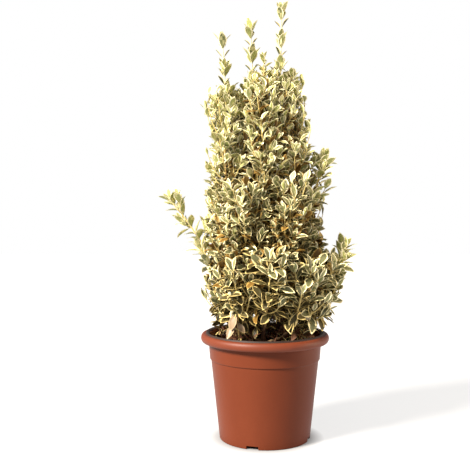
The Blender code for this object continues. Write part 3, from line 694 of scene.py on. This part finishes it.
def leafTemplate(form, dice):
    # an upper sheet of four columns and a lower one of three, bent alike and joined at the outline
    rows = leafPlan["rows"]
    steps = len(rows) - 1
    curl, phase = dice.uniform(*form["curl"]), dice.uniform(0, math.tau)
    twist = dice.uniform(-form["twist"], form["twist"])

    def bend(f, v, keel):
        half = bladeWidth(v, form["width"])
        x = f * half
        z = form["fold"] * abs(x) * (1.25 - 0.35 * abs(f)) - curl * v * v
        z += form["wave"] * abs(f) ** 3 * math.sin(v * 9 + phase + (f > 0) * 2) * math.sin(math.pi * v)
        z -= keel * leafPlan["thickness"] * (0.5 + 0.5 * math.sin(math.pi * min(1, v + 0.25)))
        turn = twist * v
        return Vector((x * math.cos(turn) - z * math.sin(turn), v, x * math.sin(turn) + z * math.cos(turn)))

    bm = bmesh.new()
    middle, band, edge, under = range(4)
    for columns, parts in ((4, (edge, middle, middle, edge)), (3, (edge, under, edge))):
        keel = columns == 3
        first = len(bm.faces)
        sheet = bmesh.ops.create_grid(bm, x_segments=columns, y_segments=steps, size=0.5)["verts"]
        bm.faces.ensure_lookup_table()
        faces = bm.faces[first:]
        for face in faces:
            centre = face.calc_center_median()
            column, row = int((centre.x + 0.5) * columns), int((centre.y + 0.5) * steps)
            part = parts[column]
            if row in (0, steps - 1):
                part = edge
            elif not keel and dice.random() < leafPlan["streaks"][part == edge]:
                part = band
            face.material_index = part
        lines = {}
        for row in range(steps + 1):
            at, play = leafPlan["edgeAt"]
            left, right = at + dice.uniform(-play, play), at + dice.uniform(-play, play)
            rim = leafPlan["underEdge"]
            lines[row] = (-1, -rim, rim, 1) if keel else (-1, -left, 0, right, 1)
        for vert in sheet:
            column, row = round((vert.co.x + 0.5) * columns), round((vert.co.y + 0.5) * steps)
            inside = keel and column in (1, 2) and 0 < row < steps
            vert.co = bend(lines[row][column], rows[row], inside)
        if keel:
            bmesh.ops.reverse_faces(bm, faces=faces)
    bmesh.ops.remove_doubles(bm, verts=bm.verts[:], dist=0.0005)
    bm.verts.index_update()
    shape = {
        "points": np.array([v.co[:] for v in bm.verts]),
        "faces": [[v.index for v in face.verts] for face in bm.faces],
        "slots": [face.material_index for face in bm.faces],
    }
    bm.free()
    return shape


def leafTemplates():
    dice = random.Random(f"{seed} leaf forms")
    return {name: [leafTemplate(form, dice) for _ in range(leafPlan["copies"])]
            for name, form in leafForms.items()}


def solidTree(nodes):
    points, faces = [], []
    for name in nodes:
        mesh = frame["nodes"][name].data
        first = len(points)
        points += [v.co.copy() for v in mesh.vertices]
        faces += [[first + i for i in polygon.vertices] for polygon in mesh.polygons]
    return BVHTree.FromPolygons(points, faces)


solids = solidTree(["pot", "soil", *stems, *boughNames])
templates = leafTemplates()
leaves = {tint: [] for tint in leafTints}  # for each tint (template, root, directions, length)
twigs = []  # (ends, radii, finish)
taken = {}  # where blades already are, by cell


def crowded(spot):
    cell = leafPlan["crowding"]
    key = tuple(math.floor(c / cell) for c in spot)
    near = ((key[0] + i, key[1] + j, key[2] + k) for i in (-1, 0, 1) for j in (-1, 0, 1) for k in (-1, 0, 1))
    if any((spot - other).length < cell for cube in near for other in taken.get(cube, ())):
        return True
    taken.setdefault(key, []).append(spot)
    return False


def inSpace(spot, points, reach):
    for a, b in zip(points, points[1:]):
        _, share = intersect_point_line(spot, a, b)
        if (spot - a.lerp(b, min(max(share, 0), 1))).length < reach:
            return True
    return False


def inOutline(spot, dice):
    r = max(spot.xy.length, 0.001)
    side = np.interp(spot.z, heights, reachRight if spot.x > 0 else reachLeft)
    deep = np.interp(spot.z, heights, reachDeep)
    reach = 1 / math.hypot(spot.x / r / side, spot.y / r / deep)
    return r < reach * dice.uniform(*outlinePlay)


def inBox(spot, box):
    slack = leafPlan["boxSlack"]
    return all(low - slack < c < high + slack for c, low, high in zip(spot, *box))


def addLeaf(root, direction, upper, length, tint, form, dice):
    direction.normalize()
    upper = (upper - direction * upper.dot(direction)).normalized()
    across = direction.cross(upper)
    leaves[tint].append((dice.choice(templates[form]), root, (across, direction, upper), length))


def clearWay(start, way):
    return solids.ray_cast(start, way.normalized(), way.length)[0] is None


def leafWays(axis, out, lean):
    # a leaf's direction and the way its upper face looks, at this angle from the shoot
    return axis * math.cos(lean) + out * math.sin(lean), axis * math.sin(lean) - out * math.cos(lean)


def leafFits(root, direction, length, stem, reach, box, spaced=True):
    tip, middle = root + direction * length, root + direction * length * 0.6
    if not (inBox(tip, box) and inSpace(tip, stem, reach)):
        return False
    hit = solids.ray_cast(root + direction * 0.004, direction, length)[0]
    return hit is None and not (crowded(middle) and spaced)


def byRank(name, rank):
    values = shootPlan[name]
    return values[min(rank, len(values) - 1)]


def chooseTint(root, rank, tone, kind, dice):
    plan = tintPlan
    if dice.random() < plan["tanShare"]:
        return "tan"
    above = root.z - plan["youthAt"]
    youth = above * plan["youthGain"][above < 0] + kind["vigour"] + tone + byRank("youth", rank)
    youth += dice.uniform(-plan["play"], plan["play"])
    # on the right, the younger, paler tints are partly young growth and partly painted light on the shaded
    # side
    for side, (start, gain) in ((1, plan["rightYouthAndPaintedLight"]), (-1, plan["leftYouth"])):
        youth += gain * max(0, side * root.x - start)
    if not kind["free"]:  # leaves deep inside the crown get darker tints, partly as the oldest and partly as painted shade, and some get the amber tint, painted warm shade
        outward = root.xy.length / np.interp(root.z, heights, reachDeep)
        low, high = plan["crest"]
        outward = max(outward, (root.z - low) / (high - low))
        share, strength = plan["shade"]
        youth -= strength * max(0, share - outward)
        if outward < plan["paintedShadeWithin"] and dice.random() < plan["paintedShadeShare"]:
            return "amber"
    return next((tint for tint, least in plan["least"] if youth > least), "deep")


def dressShoot(ends, kind, pairs, spacing, stem, box, dice):
    # crossed pairs of leaves from the shoot's tip back
    plan, length = shootPlan, (ends[2] - ends[0]).length
    side = sideOf(curveDirection(ends, 1), dice.uniform(0, 90))
    tone, amber = dice.uniform(-plan["tone"], plan["tone"]), dice.random() < tintPlan["amberShoots"]
    back, found = plan["tipGap"], []
    for rank in range(pairs):
        t = 1 - back / length
        if t < plan["bareFoot"]:
            break
        axis = curveDirection(ends, t)
        side = (side - axis * side.dot(axis)).normalized()
        root = curvePoint(ends, t)
        opening = kind["opening"] * byRank("opening", rank) + dice.uniform(-8, 8)
        size = kind["leaf"] * byRank("size", rank) * dice.uniform(0.86, 1.16)
        for half in (0, 180):
            if rank > 2 and dice.random() < plan["missing"]:
                continue
            lean = math.radians(opening + dice.uniform(-7, 7))
            out = Matrix.Rotation(math.radians(rank * 90 + half + dice.uniform(-14, 14)), 3, axis) @ side
            direction, upper = leafWays(axis, out, lean)
            upper += up * plan["faceUp"] * min(rank, 2)
            if root.z < plan["droopBelow"] and rank > 0:
                droop = up * dice.uniform(*plan["droop"]) * (plan["droopBelow"] - root.z) / 0.1
                direction = (direction - droop).normalized()
            if not (kind["free"] or inOutline(root + direction * size, dice)):
                continue
            if not leafFits(root, direction, size, stem, kind["space"], box):
                continue
            broad = rank > 0 and size > plan["broadFrom"] and dice.random() < plan["broadShare"]
            form = "broad" if broad else "open" if rank else "tip"
            tint = "tan" if amber and rank > 0 else chooseTint(root, rank, tone, kind, dice)
            found.append((t, (root, direction, upper, size, tint, form)))
        back += spacing * byRank("gap", rank)
    if len(found) < plan["fewest"]:
        return 0
    for _, leaf in found:
        addLeaf(*leaf, dice)
    return min(1, found[0][0] + plan["tipGap"] / length)  # how far up the shoot its last leaves stand


def growShoot(ends, kind, stem, box, dice, small=False):
    # dresses a shoot and draws its twig, unless it has too few leaves
    pairs, spacing, radii = (3, 0.9, "sideRadii") if small else (kind["pairs"], 1, "shootRadii")
    top = dressShoot(ends, kind, pairs, spacing, stem, box, dice)
    if top:
        shortened = (ends[0], ends[0].lerp(ends[1], top), curvePoint(ends, top))
        twigs.append((shortened, twigPlan[radii], "twigGreen"))
    return top


def dressLeader(ends, kind, tight, stem, box, dice):
    # upright rosettes up a bare pale stem, each with one thin open pair under it
    length = (ends[2] - ends[0]).length
    back, turn = rosettes["first"], dice.uniform(0, 90)
    while back < length * (1 - rosettes["bareFoot"]):
        plan = [(back + i * rosettes["pairGap"], *pair, "broad" if i else "open")
                for i, pair in enumerate(rosettes["pairs"])]
        plan.append((back + rosettes["thinBelow"] * dice.uniform(0.8, 1.2), *rosettes["thinPair"], "tip"))
        for rank, (at, size, opening, form) in enumerate(plan):
            t = max(0, 1 - at / length)
            axis, root = curveDirection(ends, t), curvePoint(ends, t)
            for half in (0, 180):
                lean = math.radians(max(3, opening + dice.uniform(-5, 8)) * (tight if rank < 3 else 1))
                out = sideOf(axis, turn + rank * 90 + half + dice.uniform(-12, 12))
                direction, upper = leafWays(axis, out, lean)
                reach = size * dice.uniform(0.88, 1.08)
                if not leafFits(root, direction, reach, stem, kind["space"], box, False):
                    continue
                tint = dice.choice(("bright", "grown", "deep") if rank == 3 else ("young", "young", "bright"))
                if back > length * 0.55 and rank < 3:
                    tint = dice.choice(("young", "bright"))
                addLeaf(root, direction, upper, reach, tint, form, dice)
        back += dice.uniform(*rosettes["step"])
        turn += 45


def shootEnds(foot, axis, side, reach, lift):
    tip = foot + (side * 0.74 + axis * 0.55 + up * lift) * reach
    return foot, foot + (side * 0.50 + axis * 0.12) * reach * 0.9, tip


def clearShoot(ends):
    start = ends[0].lerp(ends[2], 0.15)
    return clearWay(start, ends[2] - start)


def shootsRound(ends, zone, count, dice):
    # feet and sides of shoots up a stem, each turned by the golden angle from the last
    for i in range(count):
        t = mix(*zone, i / (count - 1))
        axis = curveDirection(ends, t)
        yield t, curvePoint(ends, t), axis, sideOf(axis, i * goldenAngle + dice.uniform(-20, 20))


def growMass(name):
    limb, tipPlace = masses[name]
    kindName = name.split("_")[0]
    kind, dice, box = kinds[kindName], random.Random(f"{seed} {name}"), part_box(name)
    root, heading = tips[limb]
    tip, steps = place(*tipPlace), twigPlan["stemSteps"]
    ends = (root, root + heading * (tip - root).length * twigPlan["stemBend"], tip)
    stem = [curvePoint(ends, i / steps) for i in range(steps + 1)]
    bark = "twigPale" if kindName == "leader" else "twigGreen" if kind["free"] else "twigTan"
    twigs.append((ends, twigPlan["stemRadii"], bark))
    if kindName == "leader":
        dressLeader(ends, kind, rosettes["tight"].get(name, 1), stem, box, dice)
    dressShoot(ends, kind, kind["stemPairs"], kind["stemSpacing"], stem, box, dice)
    for t, foot, axis, side in shootsRound(ends, kind["zone"], kind["shoots"], dice):
        reach = kind["spread"] * (1 - kind["narrowing"] * t) * dice.uniform(0.72, 1.08)
        level = min(1, 0.1 + t / twigPlan["skirt"])  # a mass's lowest shoots stand out level
        shoot = shootEnds(foot, axis, side, reach, kind["lift"] * level * dice.uniform(0.6, 1.3))
        fits = clearShoot(shoot) and inBox(shoot[2], box)
        top = growShoot(shoot, kind, stem, box, dice) if fits else 0
        for _ in range(kind["sides"] if top else 0):
            at = dice.uniform(0.35, 0.6) * top
            foot, axis = curvePoint(shoot, at), curveDirection(shoot, at)
            turned = sideOf(axis, dice.uniform(0, 360))
            small = shootEnds(foot, axis, turned, reach * dice.uniform(0.40, 0.55), 0.25)
            if clearShoot(small) and inBox(small[2], box):
                growShoot(small, kind, stem, box, dice, small=True)


def growInner(name):
    # short shoots on the stem itself, hidden in the crown between the masses
    kind, dice, ends = innerKind, random.Random(f"{seed} inner {name}"), stemEnds(stems[name])
    stem = [curvePoint(ends, i / 6) for i in range(7)]
    low, high = kind["zone"]
    count = int((ends[2] - ends[0]).length * (high - low) / kind["gap"])
    for _, foot, axis, side in shootsRound(ends, kind["zone"], count, dice):
        shoot = shootEnds(foot, axis, side, kind["spread"] * dice.uniform(0.7, 1.1), kind["lift"])
        if clearShoot(shoot):
            growShoot(shoot, kind, stem, cadBox, dice)


def growBetween():
    dice = random.Random(f"{seed} between")
    for azimuth, feet, heights, reach, count in gapShoots:
        for i in range(count):
            t = i / (count - 1)
            aside = azimuth + dice.uniform(-8, 8)
            foot = place(azimuth, mix(*feet, t), mix(*heights, t))
            tip = place(aside, mix(*reach, t), foot.z + dice.uniform(*innerKind["rise"]))
            shoot = (foot, foot.lerp(tip, 0.5) - up * innerKind["sag"], tip)
            growShoot(shoot, innerKind, [foot, tip], cadBox, dice)


def growCrest():
    dice = random.Random(f"{seed} crest")
    for start, end in crestShoots:
        foot, tip = place(*start), place(*end)
        growShoot((foot, foot.lerp(tip, 0.5), tip), crestKind, [foot, tip], cadBox, dice)


# Under the crown: old shoots from the soil with brown and dark leaves, fallen leaves, a faded shoot in front

underShoots = {  # how many, reach of the feet, lean and height of the tips, length and tints of the leaves
    "inside": (26, (0.015, 0.112), (-0.010, 0.020), (0.045, 0.105), (0.024, 0.040),
               ("brown", "brown", "deep", "deep")),
    "rim": (20, (0.085, 0.112), (0.012, 0.034), (0.050, 0.085), (0.034, 0.044), ("deep", "deep", "grown")),
}
under = {
    "radii": (0.0021, 0.0010), "leafGap": 0.013, "clearAt": -118, "clearWidth": 58, "sunk": 0.006,
    "litter": 40, "litterLeaf": (0.022, 0.040), "litterWithin": 0.105, "litterReach": 0.128,
    "frontRadii": (0.0021, 0.0012),
    "frontShoot": ((-0.062, -0.086, 0.222), (-0.071, -0.090, 0.33), (-0.071, -0.122, 0.45)),
    "frontLeaves": (  # root, tip, size, side the upper face looks to, form
        ((-0.0705, -0.108, 0.330), (-0.088, -0.120, 0.290), 0.046, (-0.3, -1, 0.3), "open"),
        ((-0.0705, -0.100, 0.308), (-0.092, -0.110, 0.268), 0.050, (-0.5, -1, 0.6), "tip"),
        ((-0.0690, -0.100, 0.306), (-0.054, -0.114, 0.280), 0.031, (-0.4, -1, 0.4), "broad"),
    ),
}


def growOldShoot(where, i, plan, dice):
    _, reach, leaning, height, leaf, tints = plan
    azimuth, radius = i * goldenAngle + dice.uniform(-20, 20), dice.uniform(*reach)
    foot = place(azimuth, radius, soilTop - under["sunk"])
    tipAzimuth, tipRadius = azimuth + dice.uniform(-25, 25), radius + dice.uniform(*leaning)
    tip = place(tipAzimuth, tipRadius, soilTop + dice.uniform(*height))
    ends, way = (foot, Vector((foot.x, foot.y, (foot.z + tip.z) / 2)), tip), tip - foot
    if where == "rim" and abs((azimuth - under["clearAt"] + 180) % 360 - 180) < under["clearWidth"]:
        return
    if not clearWay(foot + up * 0.012, way):
        return
    twigs.append((ends, under["radii"], "twigOld"))
    length, turn, at = way.length, dice.uniform(0, 180), 0.016
    while at < length:
        axis, root = curveDirection(ends, at / length), curvePoint(ends, at / length)
        for half in (0, 180):
            lean, size = math.radians(dice.uniform(35, 105)), dice.uniform(*leaf)
            out = sideOf(axis, turn + half + dice.uniform(-20, 20))
            direction = leafWays(axis, out, lean)[0]
            if dice.random() < 0.8 and leafFits(root, direction, size, [foot, tip], 0.06, cadBox):
                addLeaf(root, direction, up + axis, size, dice.choice(tints), "broad", dice)
        at, turn = at + under["leafGap"] * dice.uniform(0.7, 1.3), turn + 90


def dropLeaf(dice):
    spot = place(dice.uniform(0, 360), under["litterWithin"] * math.sqrt(dice.random()), 0)
    spot.z = soilHeight(spot.x, spot.y) + dice.uniform(0.003, 0.007)
    direction = sideOf(up, dice.uniform(0, 360)) + up * dice.uniform(-0.05, 0.35)
    size, way = dice.uniform(*under["litterLeaf"]), direction.normalized()
    tip = spot + way * size
    if tip.xy.length < under["litterReach"] and solids.ray_cast(spot + up * 0.004, way, size)[0] is None:
        tilt = up + sideOf(up, dice.uniform(0, 360)) * 0.4
        addLeaf(spot, direction, tilt, size, "brown", "broad", dice)


def growUnder():
    dice = random.Random(f"{seed} under")
    for where, plan in underShoots.items():
        for i in range(plan[0]):
            growOldShoot(where, i, plan, dice)
    for _ in range(under["litter"]):
        dropLeaf(dice)
    twigs.append((tuple(Vector(point) for point in under["frontShoot"]), under["frontRadii"], "twigTan"))
    for root, tip, size, facing, form in under["frontLeaves"]:
        addLeaf(Vector(root), Vector(tip) - Vector(root), Vector(facing), size, "faded", form, dice)


growUnder()
for massName in masses:
    growMass(massName)
for stemName in stems:
    growInner(stemName)
growBetween()
growCrest()
leafCount = {tint: len(found) for tint, found in leaves.items()}
print("grown:", leafCount, sum(leafCount.values()), "leaves,", len(twigs), "twigs")


# Joining: the leaves of a tint go into meshes of at most 2000 leaves each, and every twig into one mesh

def meshFromArrays(name, parts):
    points, faces, slots, first = [], [], [], 0
    for coords, shapeFaces, shapeSlots in parts:
        points.append(coords)
        faces += [[first + i for i in face] for face in shapeFaces]
        slots += shapeSlots
        first += len(coords)
    mesh = bpy.data.meshes.new(name)
    mesh.from_pydata(np.concatenate(points).tolist(), [], faces)
    mesh.polygons.foreach_set("material_index", slots)
    return mesh


def placedLeaf(leaf):
    shape, root, basis, length = leaf
    turned = shape["points"] @ np.array([v[:] for v in basis]) * length + np.array(root[:])
    return turned, shape["faces"], shape["slots"]


mostLeaves = 2000  # in one piece, so that each stays under 200,000 triangles
for tint, found in leaves.items():
    for number, first in enumerate(range(0, len(found), mostLeaves)):
        name = f"leaves{tint.title()}{number + 1}"
        mesh = meshFromArrays(name, [placedLeaf(leaf) for leaf in found[first:first + mostLeaves]])
        showMesh(name, mesh, [tint + part for part in leafParts], 50, list(masses))


def unitTwig():
    # a tube of length and radius 1 in equal rings, closed at both ends
    bm = bmesh.new()
    edges = startRing(bm, twigPlan["sides"])
    for _ in range(twigPlan["rings"]):
        ring, edges = nextRing(bm, edges)
        bmesh.ops.translate(bm, verts=ring, vec=(0, 0, 1 / twigPlan["rings"]))
    bmesh.ops.edgeloop_fill(bm, edges=edges)
    bmesh.ops.recalc_face_normals(bm, faces=bm.faces[:])
    bm.verts.index_update()
    shape = (np.array([v.co[:] for v in bm.verts]), [[v.index for v in face.verts] for face in bm.faces])
    bm.free()
    return shape


def placedTwig(twig, unit):
    ends, (thick, thin), finish = twig
    points, faces = unit
    coords = np.empty_like(points)
    axis = curveDirection(ends, 0.5)
    side = sideOf(axis, 0)
    for i, (x, y, t) in enumerate(points):
        ahead = curveDirection(ends, t)
        along = (side - ahead * side.dot(ahead)).normalized()
        coords[i] = curvePoint(ends, t) + (along * x + ahead.cross(along) * y) * mix(thick, thin, t)
    return coords, faces, [twigFinishes.index(finish)] * len(faces)


unit = unitTwig()
twigFinishes = ("twigPale", "twigGreen", "twigTan", "twigOld")
twigMesh = meshFromArrays("twigs", [placedTwig(twig, unit) for twig in twigs])
showMesh("twigs", twigMesh, twigFinishes, 60)
print("leaves and twigs joined")


# Floor, light and camera

studio = {
    "floor": (0.20, 0.20, 0.20), "floorSize": 14,
    # the floor's glow is painted light: none under the pot, full strength away from it
    "paintedGlow": {"From Min": 0.100, "From Max": 0.150, "To Max": 0.75},
    "sunFrom": (-0.80, -0.60, 0.72), "sunStrength": 12.2, "sunAngle": 14, "sunColour": (1.0, 0.93, 0.84),
    "fill": 0.27, "backdrop": 1.0, "mirrored": 0.45,
    "boxAim": (0, 0, 0.35),
    "softBoxes": (  # place, size, power, colour
        ((-0.3, -1.0, 2.2), 1.5, 15, (1.0, 0.94, 0.84)),
        ((1.9, -0.1, 0.5), 1.0, 25, (1.0, 0.80, 0.58)),
    ),
}
view = {"lens": 58.21, "place": (-0.0748, -1.895, 0.583), "pitch": 2.26}


def makeFloor():
    # painted light: it glows, but not under the pot, so that it runs into the white backdrop and its cast
    # shadows fade; the dimmer ring round the pot's foot is painted shadow
    bm = bmesh.new()
    bmesh.ops.create_grid(bm, x_segments=1, y_segments=1, size=studio["floorSize"] / 2)
    floor = addObject("floor", meshFrom(bm, "floor"))
    paint = plainMaterial("floorPaint", studio["floor"], 0.9)
    tree = paint.node_tree
    shader, where = tree.nodes["Principled BSDF"], newNode(tree, "TexCoord")
    far, paintedGlow = newNode(tree, "VectorMath", operation="LENGTH"), newNode(tree, "MapRange", studio["paintedGlow"])
    shader.inputs["Emission Color"].default_value = (1, 1, 1, 1)
    connect(tree, (where, "Object", far, 0), (far, "Value", paintedGlow, "Value"),
            (paintedGlow, "Result", shader, "Emission Strength"))
    floor.data.materials.append(paint)
    floor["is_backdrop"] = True


def makeWorld():
    # even fill light, with a level of its own for what shines and one for the backdrop
    world = bpy.data.worlds.new("studio")
    scene.world = world
    world.use_nodes = True
    tree = world.node_tree
    background, path = tree.nodes["Background"], newNode(tree, "LightPath")
    background.inputs["Color"].default_value = (1, 1, 1, 1)
    mirrored = newNode(tree, "MapRange", {"To Min": studio["fill"], "To Max": studio["mirrored"]})
    seen = newNode(tree, "MapRange", {"To Max": studio["backdrop"]})
    connect(tree, (path, "Is Glossy Ray", mirrored, "Value"), (path, "Is Camera Ray", seen, "Value"),
            (mirrored, "Result", seen, "To Min"), (seen, "Result", background, "Strength"))


def addLamp(name, kind, power, colour, way):
    lamp = addObject(name, bpy.data.lights.new(name, kind))
    lamp.data.energy, lamp.data.color = power, colour
    lamp.rotation_euler = Vector(way).to_track_quat("Z", "Y").to_euler()
    return lamp


def makeLamps():
    sun = addLamp("sun", "SUN", studio["sunStrength"], studio["sunColour"], studio["sunFrom"])
    sun.data.angle = math.radians(studio["sunAngle"])
    for number, (spot, size, power, colour) in enumerate(studio["softBoxes"], 1):
        box = addLamp(f"softBox{number}", "AREA", power, colour, Vector(spot) - Vector(studio["boxAim"]))
        box.location = spot
        box.data.size = size
        box.visible_camera = False


def makeCamera():
    camera = addObject("camera", bpy.data.cameras.new("camera"))
    camera.data.lens = view["lens"]
    camera.location = view["place"]
    camera.rotation_euler = (math.radians(90 - view["pitch"]), 0, 0)
    scene.camera = camera


makeFloor()
makeWorld()
makeLamps()
makeCamera()
scene.view_settings.view_transform = "Standard"
scene.view_settings.look = "None"
print("studio ready")

boxes = {"cad": cadBox, "visual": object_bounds()}
{name: [list(corner) for corner in box] for name, box in boxes.items()}
